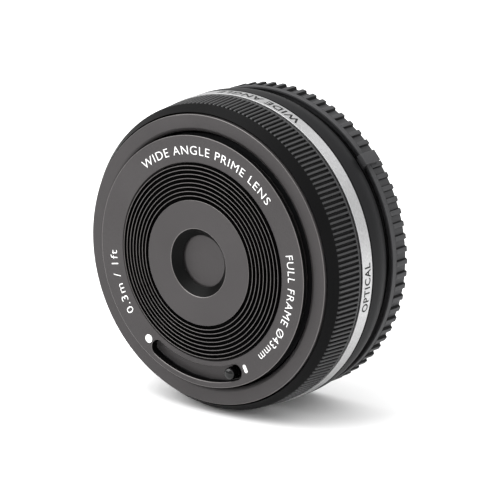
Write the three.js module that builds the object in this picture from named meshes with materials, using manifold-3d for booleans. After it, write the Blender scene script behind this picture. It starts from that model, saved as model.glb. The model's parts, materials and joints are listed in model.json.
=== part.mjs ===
// A thin prime lens with its rear cap on, standing on its rim.
// Units are millimetres. The lens looks along -Y and +Z is up.
// A station is a distance behind the front-most face. An angle is read from the front, 0 to the right, 90 up.
import * as THREE from "three";
import { mergeVertices } from "three/addons/utils/BufferGeometryUtils.js";
import Module from "manifold-3d";

const wasm = await Module();
wasm.setup();

// Driving dimensions.
const BODY_R = 30.15;
const LENGTH = 26.4;
const LENS_TOP_DEG = 87;
const GAP = 0.3;
const RIM_SIDES = 48;
const PLATE_SIDES = 36;
const CELL_SIDES = 24;
const SMALL_SIDES = 12;

// Front plate: a hole, a flat inner disc, light-trap ridges and a band with the lever's walled slot.
const PLATE = { holeFrontR: 6.6, holeBackR: 5, discR: 12.1, bandR: 19.15, r: 24.3, band: 0.92, back: 1.8 };
const RIDGES = { count: 8, pitch: 0.81, fall: 0.07, depth: 0.5 };
const SLOT = { r: 21.65, width: 3.1, centre: -90.7, travel: 51.4, wall: 0.6, back: 2.5 };

// Outer rings. The front barrel starts with a cone, and the grip is narrower than the rings behind it.
const BEZEL = { innerR: 24.6, r: 27.95, edge: 0.15, face: 2.54, back: 4.6 };
const COVE = [[BEZEL.innerR, 3.3], [24.85, 2.9], [25.4, BEZEL.face]];
const SLEEVE = { innerR: 28.25, r: 28.9, coneR: 29.5, front: 3.05, coneBack: 4.95, back: 14.3 };
const GRIP = { innerR: 29.2, rootR: 29.55, r: 29.95, teeth: 184, front: 5.25, back: 11.1 };
const TRIM = { innerR: 29.2, front: 11.4, back: 14.32 };
const REAR = { innerR: 28.25, lipR: 27.3, lip: 19.5, endR: 28.8, front: 14.62, back: 20.4 };
const REAR_CURVE = [[BODY_R, 16.4], [29.95, 17.8], [29.5, 19.1]];
const CHASSIS = { innerR: 24.6, r: 27.9, front: 4.9, back: 19 };

// Sliding cover: a finger knob on a ring drives a swinging blade through a pin.
const COVER = {
  bladeFront: 2.1, bladeBack: 2.5,
  ringFront: 2.8, ringBack: 3.6,
  baseFront: 3.9, baseBack: 4.7,
};
const LEVER = { closed: -68.4, travel: 48 };
const BLADE = { pivotR: 8.5, pivotDeg: 90, discR: 5.6, hubR: 2, hole: 0.95, fork: 47.5, forkWidth: 3.7 };
const BLADE_SLOT = { width: 1.9, start: 7.6, end: 10.9 };
const DRIVE_PIN = { ringR: 17, r: 0.5, deg: 115, front: 2 };
const COVER_RING = { innerR: 15.8, r: 23.2 };
const DETENT = { deg: 180, notch: 0.4, notchSize: 0.8, innerR: 23.6, r: 23.9, angle: 36, bumpR: 0.35 };
const BASE = { hubInnerR: 14.8, hubR: 15.5, r: 24.2, lightHoleR: 6.5, pivotHoleR: 1.05 };
const KNOB_OUTLINE = [[0, 0], [0.5, 0.06], [0.95, 0.25], [1.25, 0.7], [1.3, 2.5], [0, 2.5]];
const PIVOT_OUTLINE = [
  [0, 2], [0.75, 2], [0.75, 2.7], [1.5, 2.7],
  [1.5, 3.6], [0.75, 3.6], [0.75, 4.8], [0, 4.8],
];
const TOOL_BACK = 5;

// Optics. A cell is an outline of [radius, station] points.
// A ring is its inner radius, outer radius, front and back.
const FRONT_CELL = [
  [6.7, 5], [24.3, 5], [24.3, 5.9], [9, 5.9], [9, 8.4],
  [4.6, 8.4], [4.6, 8.1], [5.7, 8.1], [5.7, 6.8], [6.7, 6.8],
];
const REAR_CELL = [
  [6, 15], [24.3, 15], [24.3, 15.9], [12.8, 15.9], [12.8, 19.9],
  [11.3, 19.9], [11.3, 17.3], [9.3, 17.3], [9.3, 15.3],
  [6, 15.3],
];
const FRONT_RETAINER = [5.3, 6.4, 5, 5.3];
const FOCUS_RETAINER = [3.9, 4.8, 13.6, 14];
const REAR_RETAINER = [9.8, 11, 19.5, 19.9];
const STOP = [2.9, 8.7, 8.7, 8.95];

// Glass elements: radius, front and back stations at the rim, and how far each face swells outwards.
const ELEMENTS = {
  1: [6.4, 5.9, 6.6, 0.3, -0.5],
  2: [5.4, 7.1, 7.9, 0.1, 0.2],
  3: [4.8, 11.3, 11.8, -0.15, -0.15],
  4: [4.8, 12.6, 13, 0.2, 0.25],
  5: [9, 15.7, 16.5, -0.3, 0.4],
  6: [11, 17.6, 18.3, -0.2, 0.6],
};

// Focus drive.
const ROD = { r: 0.8, offset: 18.5, front: 6.2, back: 14.7 };
const COIL = { innerR: 11.5, r: 12.7, front: 10.6, back: 13 };
const MAGNET = { innerR: 13.2, r: 15.2, front: 9, back: 14.2, halfAngle: 55 };
const YOKE = { innerR: 15.5, r: 16.6 };
const CARRIAGE = { hubR: 6.6, boreR: 5.1, lipR: 4, front: 10.5, lip: 10.9, web: 13.3, back: 14.1 };
const EAR = { width: 6, start: 10, end: 20.2 };
const SCALE = { width: 2, height: 2, front: 12, back: 13, r: 15.5, up: 1.8 };
const SENSOR = { width: 1.6, height: 2.4, front: 11.4, back: 13.6, r: 15.8, up: 4.2 };

// Electronics.
const BOARD = [13.2, 24.3, 16.3, 17.1];
const CHIP = { front: 17.4, back: 18.2, r: 18.6 };
const DRIVER = { size: 4, deg: 200 };
const PROCESSOR = { size: 5.5, deg: 130 };
const FLEX = { width: 6, thick: 0.3, innerR: 18.6, r: 22.35, front: 17.4, back: 20.7 };
const CONTACT_BLOCK = { innerR: 17, r: 19.85, angle: 60, front: 21, back: 23.6 };
const CONTACT = { count: 10, r: 18.5, pitch: 5.4, width: 0.8, height: 1.4, front: 23.85, back: 24.15 };

// Bayonet mount.
const MOUNT = {
  r: 28.4, hubR: 27, tubeR: 21.6, throatR: 20.2,
  front: 19.9, rim: 20.7, face: 21.2, back: 24.4,
};
const LUG = { count: 3, r: 22.9, front: 23, back: 24.2, angle: 55, start: 90 };
const SCREW = {
  count: 4, circleR: 25.6, headR: 1.2, r: 0.5,
  front: 17.4, headFront: 20.7, back: 21.1, start: 45,
};
const SHIM = { innerR: 23.6, r: 26.9, front: 19.3, back: 19.6 };
const BAFFLE = { r: 19.85, front: 20.2, back: 20.7, windowX: 12, windowZ: 8.5, notchZ: -15.5, notchHalf: 12 };

// Rear cap: a double wall with a smooth collar in front, then ribs.
const CAP = {
  r: 29.5, ribR: 29.6, rootR: 29, backR: 28.5,
  ribs: 76, front: 21.5, ribFront: 22.6, ribBack: 25.9,
};
const CAP_RIB = { innerR: 28.2, foot: 0.2, tip: 0.27, sink: 0.1 };
const CAP_WALL = { skirtR: 27.6, collarR: 26, innerR: 24.6, floor: 25 };
const CAP_LUG = { r: 22.2, front: 21.6, back: 22.7, angle: 45, start: 30 };
const INDEX = { deg: 40.3, width: 2.3, footR: 28, innerR: 29.55, r: 30.7, front: 20.15, back: 24.5 };

// Finishes.
const finish = (colour, roughness, metalness) => () =>
  new THREE.MeshStandardMaterial({ color: colour, roughness, metalness });
const blasted = finish(0x6a6564, 0.55, 0.6);
const blackPaint = finish(0x1c1c1d, 0.5, 0.3);
const satinSilver = finish(0xe2e2e4, 0.3, 0.9);
const blackAlloy = finish(0x34353a, 0.45, 0.7);
const blackGloss = finish(0x0c0c0d, 0.15, 0);
const blackPlastic = finish(0x2b2b2d, 0.65, 0);
const capPlastic = finish(0x424347, 0.6, 0);
const steel = finish(0xb9bbbe, 0.3, 1);
const chrome = finish(0xc9cbce, 0.18, 1);
const copper = finish(0xb86a3c, 0.4, 0.9);
const magnetAlloy = finish(0x8d8f94, 0.3, 0.9);
const glass = finish(0x9fc3d8, 0.05, 0);
const circuit = finish(0x1c5a3a, 0.6, 0);
const flexFilm = finish(0xb4782a, 0.45, 0);
const gold = finish(0xd9b14a, 0.25, 1);

const rad = THREE.MathUtils.degToRad;

// A point in the plane across the lens axis, as seen from the front.
const polar = (radius, degrees) =>
  new THREE.Vector2(radius * Math.cos(rad(degrees)), radius * Math.sin(rad(degrees)));

// Solids for cutting and joining.
function solid(geometry) {
  const bare = geometry.clone();
  bare.deleteAttribute("normal");
  bare.deleteAttribute("uv");
  const merged = mergeVertices(bare, 1e-4);
  return new wasm.Manifold(
    new wasm.Mesh({
      numProp: 3,
      vertProperties: merged.attributes.position.array,
      triVerts: new Uint32Array(merged.index.array),
    }),
  );
}

function fromSolid(made) {
  const mesh = made.getMesh();
  const geometry = new THREE.BufferGeometry();
  geometry.setAttribute("position", new THREE.BufferAttribute(mesh.vertProperties, 3));
  geometry.setIndex(new THREE.BufferAttribute(mesh.triVerts, 1));
  const faceted = geometry.toNonIndexed();
  faceted.computeVertexNormals();
  return faceted;
}

const cut = (body, ...tools) =>
  fromSolid(tools.reduce((left, tool) => left.subtract(solid(tool)), solid(body)));
const join = (...bodies) => fromSolid(bodies.map(solid).reduce((whole, next) => whole.add(next)));

// A shape turned about the lens axis. The outline is a list of [radius, station] points.
// Outer rims are drawn round their circle, so that their flats, not their corners, have the stated radius.
function turned(outline, sides = CELL_SIDES, outerRim = false) {
  const stretch = outerRim ? 1 / Math.cos(Math.PI / sides) : 1;
  const points = outline.map(([radius, station]) => new THREE.Vector2(radius * stretch, station));
  if (THREE.ShapeUtils.area(points) < 0) points.reverse();
  const onAxis = points[0].x === 0 && points.at(-1).x === 0;
  if (!onAxis) points.push(points[0].clone());
  return new THREE.LatheGeometry(points, sides, Math.PI / sides);
}

const ring = (innerR, outerR, front, back, sides) =>
  turned([[innerR, front], [outerR, front], [outerR, back], [innerR, back]], sides);

// A flat outline, drawn as seen from the front, made solid between two stations.
function slab(shape, front, back, curveSegments = SMALL_SIDES) {
  const depth = back - front;
  const geometry = new THREE.ExtrudeGeometry(shape, { depth, bevelEnabled: false, curveSegments });
  return geometry.rotateX(Math.PI / 2).translate(0, back, 0);
}

function post(radius, front, back, [x, z], sides = SMALL_SIDES) {
  return new THREE.CylinderGeometry(radius, radius, back - front, sides).translate(x, (front + back) / 2, z);
}

// A box between two stations, its middle at a radius and angle, its height pointing along the radius.
function brick(width, height, front, back, radius, degrees) {
  return new THREE.BoxGeometry(width, back - front, height)
    .translate(0, (front + back) / 2, radius)
    .rotateY(rad(90 - degrees));
}

// Part of a flat ring.
function sector(innerR, outerR, centre, angle) {
  const start = rad(centre - angle / 2);
  const end = rad(centre + angle / 2);
  const shape = new THREE.Shape();
  shape.absarc(0, 0, outerR, start, end, false);
  shape.absarc(0, 0, innerR, end, start, true);
  return shape;
}

// A curved slot with round ends, its ends' centres the given travel apart.
function arcSlot({ r, width, centre, travel }) {
  const half = width / 2;
  const low = centre - travel / 2;
  const high = centre + travel / 2;
  const lowEnd = polar(r, low);
  const highEnd = polar(r, high);
  const shape = new THREE.Shape();
  shape.absarc(0, 0, r + half, rad(low), rad(high), false);
  shape.absarc(highEnd.x, highEnd.y, half, rad(high), rad(high + 180), false);
  shape.absarc(0, 0, r - half, rad(high), rad(low), true);
  shape.absarc(lowEnd.x, lowEnd.y, half, rad(low + 180), rad(low + 360), false);
  return shape;
}

// A ring of teeth: each tooth is a list of [share of the pitch, radius] points.
function toothedRing(teeth, tooth, innerR) {
  const corners = [];
  for (let index = 0; index < teeth; index += 1)
    for (const [share, radius] of tooth) corners.push(polar(radius, ((index + share) * 360) / teeth));
  const shape = new THREE.Shape(corners);
  shape.holes.push(new THREE.Path().absarc(0, 0, innerR, 0, 2 * Math.PI, true));
  return shape;
}

// A round glass element. A positive bulge swells outwards, a negative one is hollow.
function element(radius, front, back, frontBulge, backBulge) {
  const shares = [0, 0.6, 1];
  const face = (station, bulge) =>
    shares.map((share) => [radius * share, station + bulge * (1 - share * share)]);
  return turned([...face(front, -frontBulge), ...face(back, backBulge).reverse()], 20);
}

function add(group, name, geometry, material) {
  const mesh = new THREE.Mesh(geometry, material());
  mesh.name = name;
  group.add(mesh);
}

// Rings that make the outside. Their flats face down, so the lens stands on them.
function outerRings() {
  const rings = new THREE.Group();
  const bezel = [
    ...COVE,
    [BEZEL.r - BEZEL.edge, BEZEL.face],
    [BEZEL.r, BEZEL.face + BEZEL.edge],
    [BEZEL.r, BEZEL.back],
    [BEZEL.innerR, BEZEL.back],
  ];
  const sleeve = [
    [SLEEVE.innerR, SLEEVE.front],
    [SLEEVE.coneR, SLEEVE.coneBack],
    [SLEEVE.r, SLEEVE.coneBack],
    [SLEEVE.r, SLEEVE.back],
    [SLEEVE.innerR, SLEEVE.back],
  ];
  const rear = [
    [BODY_R, REAR.front],
    ...REAR_CURVE,
    [REAR.endR, REAR.back],
    [REAR.lipR, REAR.back],
    [REAR.lipR, REAR.lip],
    [REAR.innerR, REAR.lip],
    [REAR.innerR, REAR.front],
  ];
  const trim = [
    [TRIM.innerR, TRIM.front],
    [BODY_R, TRIM.front],
    [BODY_R, TRIM.back],
    [TRIM.innerR, TRIM.back],
  ];
  const knurl = [[0, GRIP.r], [0.5, GRIP.rootR]];
  add(rings, "front_bezel", turned(bezel, RIM_SIDES, true), blasted);
  add(rings, "front_barrel", turned(sleeve, RIM_SIDES, true), blackPaint);
  const grip = slab(toothedRing(GRIP.teeth, knurl, GRIP.innerR), GRIP.front, GRIP.back, 24);
  add(rings, "grip_ring", grip, blackPaint);
  add(rings, "trim_ring", turned(trim, RIM_SIDES, true), satinSilver);
  add(rings, "rear_barrel", turned(rear, RIM_SIDES, true), blackAlloy);
  return rings;
}

// Screw places, as [x, z] points.
function screwPoints() {
  const points = [];
  for (let index = 0; index < SCREW.count; index += 1)
    points.push(polar(SCREW.circleR, SCREW.start + (index * 360) / SCREW.count));
  return points;
}

function frontPlate() {
  const ridges = [];
  for (let index = 0; index < RIDGES.count; index += 1) {
    const valleyR = PLATE.discR + RIDGES.pitch * (index + 0.5);
    ridges.push([valleyR, RIDGES.fall * index + RIDGES.depth]);
    ridges.push([valleyR + RIDGES.pitch / 2, RIDGES.fall * (index + 1)]);
  }
  const outline = [
    [PLATE.holeFrontR, 0],
    [PLATE.discR, 0],
    ...ridges,
    [PLATE.bandR, PLATE.band],
    [PLATE.r, PLATE.band],
    [PLATE.r, PLATE.back],
    [PLATE.holeBackR, PLATE.back],
  ];
  const slotWall = slab(arcSlot({ ...SLOT, width: SLOT.width + 2 * SLOT.wall }), PLATE.band, SLOT.back, 6);
  return cut(join(turned(outline, PLATE_SIDES), slotWall), slab(arcSlot(SLOT), 0, TOOL_BACK, 6));
}

function coverBlade(pivot) {
  const { x, y } = pivot;
  const { bladeFront, bladeBack } = COVER;
  const forkDeg = BLADE.pivotDeg + BLADE.fork;
  const forkLength = BLADE_SLOT.end;
  const slotLength = BLADE_SLOT.end - BLADE_SLOT.start + 1;
  const slotMiddle = BLADE_SLOT.start + slotLength / 2;
  const fork = brick(BLADE.forkWidth, forkLength, bladeFront, bladeBack, forkLength / 2, forkDeg)
    .translate(x, 0, y);
  const slot = brick(BLADE_SLOT.width, slotLength, 0, TOOL_BACK, slotMiddle, forkDeg).translate(x, 0, y);
  const arm = brick(2 * BLADE.hubR, BLADE.pivotR, bladeFront, bladeBack, BLADE.pivotR / 2, BLADE.pivotDeg);
  const disc = post(BLADE.discR, bladeFront, bladeBack, [0, 0], PLATE_SIDES);
  const hub = post(BLADE.hubR, bladeFront, bladeBack, [x, y]);
  return cut(join(disc, arm, hub, fork), slot, post(BLADE.hole, 0, TOOL_BACK, [x, y]));
}

function coverRing() {
  const pin = polar(DRIVE_PIN.ringR, DRIVE_PIN.deg);
  const whole = ring(COVER_RING.innerR, COVER_RING.r, COVER.ringFront, COVER.ringBack, PLATE_SIDES);
  const notch = (degrees) =>
    new THREE.BoxGeometry(DETENT.notchSize, TOOL_BACK, DETENT.notchSize)
      .rotateY(Math.PI / 4)
      .translate(0, TOOL_BACK / 2, COVER_RING.r + DETENT.notchSize * Math.SQRT1_2 - DETENT.notch)
      .rotateY(rad(90 - degrees));
  const closed = notch(DETENT.deg);
  const open = notch(DETENT.deg + LEVER.travel);
  return cut(whole, post(DRIVE_PIN.r + GAP, 0, TOOL_BACK, [pin.x, pin.y]), closed, open);
}

function detentSpring() {
  const place = polar(DETENT.innerR, DETENT.deg);
  const leafOutline = sector(DETENT.innerR, DETENT.r, DETENT.deg, DETENT.angle);
  const leaf = slab(leafOutline, COVER.ringFront, COVER.ringBack, 6);
  return join(leaf, post(DETENT.bumpR, COVER.ringFront, COVER.ringBack, [place.x, place.y], 6));
}

function basePlate(pivot) {
  const outline = [
    [BASE.lightHoleR, COVER.baseFront],
    [BASE.hubInnerR, COVER.baseFront],
    [BASE.hubInnerR, COVER.ringFront],
    [BASE.hubR, COVER.ringFront],
    [BASE.hubR, COVER.baseFront],
    [BASE.r, COVER.baseFront],
    [BASE.r, COVER.baseBack],
    [BASE.lightHoleR, COVER.baseBack],
  ];
  return cut(turned(outline, PLATE_SIDES), post(BASE.pivotHoleR, 0, TOOL_BACK, [pivot.x, pivot.y]));
}

// The front plate and the sliding cover behind it.
function coverUnit() {
  const unit = new THREE.Group();
  const pivot = polar(BLADE.pivotR, BLADE.pivotDeg);
  const pin = polar(DRIVE_PIN.ringR, DRIVE_PIN.deg);
  const knobPlace = polar(SLOT.r, LEVER.closed);
  const knob = turned(KNOB_OUTLINE, SMALL_SIDES).translate(knobPlace.x, 0, knobPlace.y);
  const pivotPin = turned(PIVOT_OUTLINE, SMALL_SIDES).translate(pivot.x, 0, pivot.y);
  add(unit, "front_plate", frontPlate(), blasted);
  add(unit, "cover_lever_knob", knob, blackGloss);
  add(unit, "cover_ring", coverRing(), blasted);
  add(unit, "cover_drive_pin", post(DRIVE_PIN.r, DRIVE_PIN.front, COVER.ringBack, [pin.x, pin.y]), steel);
  add(unit, "cover_blade", coverBlade(pivot), blasted);
  add(unit, "cover_pivot_pin", pivotPin, steel);
  add(unit, "cover_base_plate", basePlate(pivot), blackAlloy);
  add(unit, "detent_spring", detentSpring(), steel);
  return unit;
}

// The glass, its fixed cells and the stop.
function opticsUnit() {
  const unit = new THREE.Group();
  add(unit, "front_cell", turned(FRONT_CELL), blackAlloy);
  add(unit, "front_retainer_ring", ring(...FRONT_RETAINER), blackAlloy);
  add(unit, "aperture_stop", ring(...STOP), blackPaint);
  add(unit, "rear_cell", turned(REAR_CELL), blackAlloy);
  add(unit, "rear_retainer_ring", ring(...REAR_RETAINER), blackAlloy);
  for (const number of [1, 2, 5, 6]) add(unit, `lens_element_${number}`, element(...ELEMENTS[number]), glass);
  return unit;
}

function focusCarriage() {
  const outline = [
    [CARRIAGE.lipR, CARRIAGE.front],
    [CARRIAGE.hubR, CARRIAGE.front],
    [CARRIAGE.hubR, CARRIAGE.web],
    [COIL.r, CARRIAGE.web],
    [COIL.r, CARRIAGE.back],
    [CARRIAGE.boreR, CARRIAGE.back],
    [CARRIAGE.boreR, CARRIAGE.lip],
    [CARRIAGE.lipR, CARRIAGE.lip],
  ];
  const earLength = EAR.end - EAR.start;
  const earMiddle = (EAR.start + EAR.end) / 2;
  const ear = (degrees) => brick(EAR.width, earLength, CARRIAGE.web, CARRIAGE.back, earMiddle, degrees);
  const hole = (x) => post(ROD.r + GAP, CARRIAGE.web - 1, CARRIAGE.back + 1, [x, 0]);
  return cut(join(turned(outline), ear(0), ear(180)), hole(ROD.offset), hole(-ROD.offset));
}

// The voice-coil drive that slides the focusing glass along two rods.
function focusUnit() {
  const unit = new THREE.Group();
  const arc = (inner, outer, centre) =>
    slab(sector(inner, outer, centre, 2 * MAGNET.halfAngle), MAGNET.front, MAGNET.back, 8);
  const block = ({ width, height, front, back, r, up }) =>
    brick(width, height, front, back, r, 180).translate(0, 0, up);
  add(unit, "focus_carriage", focusCarriage(), blackPlastic);
  add(unit, "lens_element_3", element(...ELEMENTS[3]), glass);
  add(unit, "lens_element_4", element(...ELEMENTS[4]), glass);
  add(unit, "focus_retainer_ring", ring(...FOCUS_RETAINER), blackAlloy);
  add(unit, "voice_coil", ring(COIL.innerR, COIL.r, COIL.front, COIL.back), copper);
  add(unit, "sensor_scale", block(SCALE), magnetAlloy);
  add(unit, "position_sensor", block(SENSOR), blackPlastic);
  for (const [place, centre] of [["upper", 90], ["lower", -90]]) {
    add(unit, `magnet_${place}`, arc(MAGNET.innerR, MAGNET.r, centre), magnetAlloy);
    add(unit, `yoke_${place}`, arc(YOKE.innerR, YOKE.r, centre), steel);
  }
  for (const [index, side] of [1, -1].entries())
    add(unit, `guide_rod_${index + 1}`, post(ROD.r, ROD.front, ROD.back, [side * ROD.offset, 0]), steel);
  return unit;
}

// A strip that lies on the board and then turns back towards the contacts.
function flexCable() {
  const reach = FLEX.back - FLEX.front;
  const spread = FLEX.r - FLEX.innerR;
  const riser = new THREE.BoxGeometry(FLEX.width, reach, FLEX.thick)
    .translate(0, FLEX.front + reach / 2, -FLEX.innerR - FLEX.thick / 2);
  const foot = new THREE.BoxGeometry(FLEX.width, FLEX.thick, spread)
    .translate(0, FLEX.front + FLEX.thick / 2, -FLEX.innerR - spread / 2);
  return join(riser, foot);
}

// Circuit board, chips, cable and the contacts that the camera body touches.
function electronicsUnit() {
  const unit = new THREE.Group();
  const { innerR, r, angle, front, back } = CONTACT_BLOCK;
  const contactBlock = slab(sector(innerR, r, -90, angle), front, back, 8);
  const chip = ({ size, deg }) => brick(size, size, CHIP.front, CHIP.back, CHIP.r, deg);
  add(unit, "main_board", ring(...BOARD), circuit);
  add(unit, "driver_chip", chip(DRIVER), blackPlastic);
  add(unit, "processor_chip", chip(PROCESSOR), blackPlastic);
  add(unit, "flex_cable", flexCable(), flexFilm);
  add(unit, "contact_block", contactBlock, blackPlastic);
  for (let index = 0; index < CONTACT.count; index += 1) {
    const degrees = -90 + (index - (CONTACT.count - 1) / 2) * CONTACT.pitch;
    const pin = brick(CONTACT.width, CONTACT.height, CONTACT.front, CONTACT.back, CONTACT.r, degrees);
    add(unit, `contact_pin_${index + 1}`, pin, gold);
  }
  return unit;
}

function bayonetMount() {
  const outline = [
    [MOUNT.throatR, MOUNT.front],
    [MOUNT.hubR, MOUNT.front],
    [MOUNT.hubR, MOUNT.rim],
    [MOUNT.r, MOUNT.rim],
    [MOUNT.r, MOUNT.face],
    [MOUNT.tubeR, MOUNT.face],
    [MOUNT.tubeR, MOUNT.back],
    [MOUNT.throatR, MOUNT.back],
  ];
  const lugs = [];
  for (let index = 0; index < LUG.count; index += 1) {
    const centre = LUG.start + (index * 360) / LUG.count;
    lugs.push(slab(sector(MOUNT.tubeR - 0.5, LUG.r, centre, LUG.angle), LUG.front, LUG.back, 6));
  }
  const holes = screwPoints().flatMap(({ x, y }) => [
    post(SCREW.r + GAP, MOUNT.front - 1, MOUNT.face + 1, [x, y]),
    post(SCREW.headR + GAP, SCREW.headFront - GAP, MOUNT.face + 1, [x, y]),
  ]);
  return cut(join(turned(outline, PLATE_SIDES), ...lugs), ...holes);
}

function rearBaffle() {
  const shape = new THREE.Shape();
  const notchHalf = rad(BAFFLE.notchHalf);
  const notchX = BAFFLE.r * Math.sin(notchHalf);
  const { windowX, windowZ } = BAFFLE;
  const corners = [[-windowX, -windowZ], [-windowX, windowZ], [windowX, windowZ], [windowX, -windowZ]];
  shape.absarc(0, 0, BAFFLE.r, -Math.PI / 2 + notchHalf, (3 * Math.PI) / 2 - notchHalf, false);
  shape.lineTo(-notchX, BAFFLE.notchZ);
  shape.lineTo(notchX, BAFFLE.notchZ);
  const window = new THREE.Path();
  window.setFromPoints(corners.map(([x, z]) => new THREE.Vector2(x, z)));
  window.closePath();
  shape.holes.push(window);
  return slab(shape, BAFFLE.front, BAFFLE.back, 30);
}

// What fastens the lens to a camera body.
function mountUnit() {
  const unit = new THREE.Group();
  const places = screwPoints();
  const shimHoles = places.map(({ x, y }) => post(SCREW.r + GAP, SHIM.front - 1, SHIM.back + 1, [x, y], 8));
  const tapped = places.map(({ x, y }) =>
    post(SCREW.r + GAP, SCREW.front - GAP, CHASSIS.back + 1, [x, y], 8));
  const chassis = ring(CHASSIS.innerR, CHASSIS.r, CHASSIS.front, CHASSIS.back, PLATE_SIDES);
  const screw = [
    [0, SCREW.front],
    [SCREW.r, SCREW.front],
    [SCREW.r, SCREW.headFront],
    [SCREW.headR, SCREW.headFront],
    [SCREW.headR, SCREW.back],
    [0, SCREW.back],
  ];
  add(unit, "main_chassis", cut(chassis, ...tapped), blackAlloy);
  const shim = ring(SHIM.innerR, SHIM.r, SHIM.front, SHIM.back, PLATE_SIDES);
  add(unit, "mount_shim", cut(shim, ...shimHoles), steel);
  add(unit, "bayonet_mount", bayonetMount(), chrome);
  add(unit, "rear_baffle", rearBaffle(), blackPlastic);
  places.forEach(({ x, y }, index) => {
    add(unit, `mount_screw_${index + 1}`, turned(screw, 8).translate(x, 0, y), blackAlloy);
  });
  return unit;
}

// The cap twists onto the bayonet. It is drawn at its release angle, its lugs between those of the mount.
function rearCap() {
  const body = [
    [0, CAP_WALL.floor],
    [CAP_WALL.innerR, CAP_WALL.floor],
    [CAP_WALL.innerR, CAP.front],
    [CAP_WALL.collarR, CAP.front],
    [CAP_WALL.collarR, CAP_WALL.floor],
    [CAP_WALL.skirtR, CAP_WALL.floor],
    [CAP_WALL.skirtR, CAP.front],
    [CAP.r, CAP.front],
    [CAP.r, CAP.ribFront],
    [CAP.rootR, CAP.ribFront],
    [CAP.rootR, CAP.ribBack],
    [CAP.backR, LENGTH],
    [0, LENGTH],
  ];
  const footR = CAP.rootR - CAP_RIB.sink;
  const rib = [
    [CAP_RIB.foot, footR],
    [CAP_RIB.tip, CAP.ribR],
    [1 - CAP_RIB.tip, CAP.ribR],
    [1 - CAP_RIB.foot, footR],
  ];
  const ribs = slab(toothedRing(CAP.ribs, rib, CAP_RIB.innerR), CAP.ribFront, CAP.ribBack, 8);
  const lugs = [];
  for (let index = 0; index < LUG.count; index += 1) {
    const centre = CAP_LUG.start + (index * 360) / LUG.count;
    const lugOutline = sector(CAP_LUG.r, CAP_WALL.innerR + GAP, centre, CAP_LUG.angle);
    lugs.push(slab(lugOutline, CAP_LUG.front, CAP_LUG.back, 6));
  }
  const height = INDEX.r - INDEX.innerR;
  const key = brick(INDEX.width, height, INDEX.front, INDEX.back, INDEX.innerR + height / 2, INDEX.deg);
  const footHeight = INDEX.r - INDEX.footR;
  const foot = brick(INDEX.width, footHeight, CAP.front, INDEX.back, INDEX.footR + footHeight / 2, INDEX.deg);
  return join(turned(body, PLATE_SIDES), ribs, ...lugs, foot, key);
}

const lens = new THREE.Group();
const inside = new THREE.Group();
inside.rotation.y = rad(90 - LENS_TOP_DEG);
inside.add(coverUnit(), opticsUnit(), focusUnit(), electronicsUnit(), mountUnit());
lens.add(outerRings(), inside);
add(lens, "rear_cap", rearCap(), capPlastic);
lens.position.set(0, -LENGTH / 2, BODY_R);

const group = new THREE.Group();
group.add(lens);
export default group;
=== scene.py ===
import json
import math

import bmesh
import bpy
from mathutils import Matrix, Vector


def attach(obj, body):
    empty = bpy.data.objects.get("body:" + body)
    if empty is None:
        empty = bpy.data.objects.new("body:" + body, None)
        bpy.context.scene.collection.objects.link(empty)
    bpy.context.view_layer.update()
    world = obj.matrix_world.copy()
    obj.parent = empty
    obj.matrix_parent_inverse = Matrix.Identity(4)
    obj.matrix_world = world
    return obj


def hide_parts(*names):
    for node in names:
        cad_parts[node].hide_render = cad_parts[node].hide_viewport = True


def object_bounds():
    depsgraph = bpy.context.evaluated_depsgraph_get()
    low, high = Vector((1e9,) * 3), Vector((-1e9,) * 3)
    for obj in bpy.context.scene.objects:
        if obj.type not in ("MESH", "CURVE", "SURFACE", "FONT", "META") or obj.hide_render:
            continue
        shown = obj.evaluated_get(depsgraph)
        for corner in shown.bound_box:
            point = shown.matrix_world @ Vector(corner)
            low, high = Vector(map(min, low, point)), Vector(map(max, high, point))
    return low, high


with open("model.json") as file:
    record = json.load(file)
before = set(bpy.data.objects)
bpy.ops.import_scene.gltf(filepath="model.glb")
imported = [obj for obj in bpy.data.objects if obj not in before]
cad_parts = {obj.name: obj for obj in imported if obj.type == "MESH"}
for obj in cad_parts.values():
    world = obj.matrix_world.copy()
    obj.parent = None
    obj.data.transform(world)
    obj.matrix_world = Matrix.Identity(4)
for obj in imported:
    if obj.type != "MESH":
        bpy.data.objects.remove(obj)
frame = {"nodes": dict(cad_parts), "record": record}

# The frame. Stations are millimetres behind the front-most face, radii are from the lens axis, and an
# angle is read from the front, 0 to the right and 90 up.
MM = 0.001
CAD_LOW, CAD_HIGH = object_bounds()
FRONT_Y = CAD_LOW.y
AXIS_Z = (CAD_LOW.z + CAD_HIGH.z) / 2
BODY_R = (CAD_HIGH.z - CAD_LOW.z) / 2 / MM
LENGTH = (CAD_HIGH.y - CAD_LOW.y) / MM

# The lens is turned 3 degrees on its axis, so its own top is at this angle.
LENS_TOP = 87

# Smoothness of turned pieces. SUPPORT is how far a flat is held flat outside each rounded corner, in mm,
# and FILLET_SHARE is how much of an outline's side a rounded corner may take.
TURN_STEPS = 288
FILLET_STEPS = 4
FILLET_SHARE = 0.45
SUPPORT = 0.02
SHARP = math.radians(31)

# Points nearer than these are one point: in a new mesh, and after a cut or a join.
SAME_POINT = 1e-8
WELD_GAP = 0.002 * MM

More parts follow.
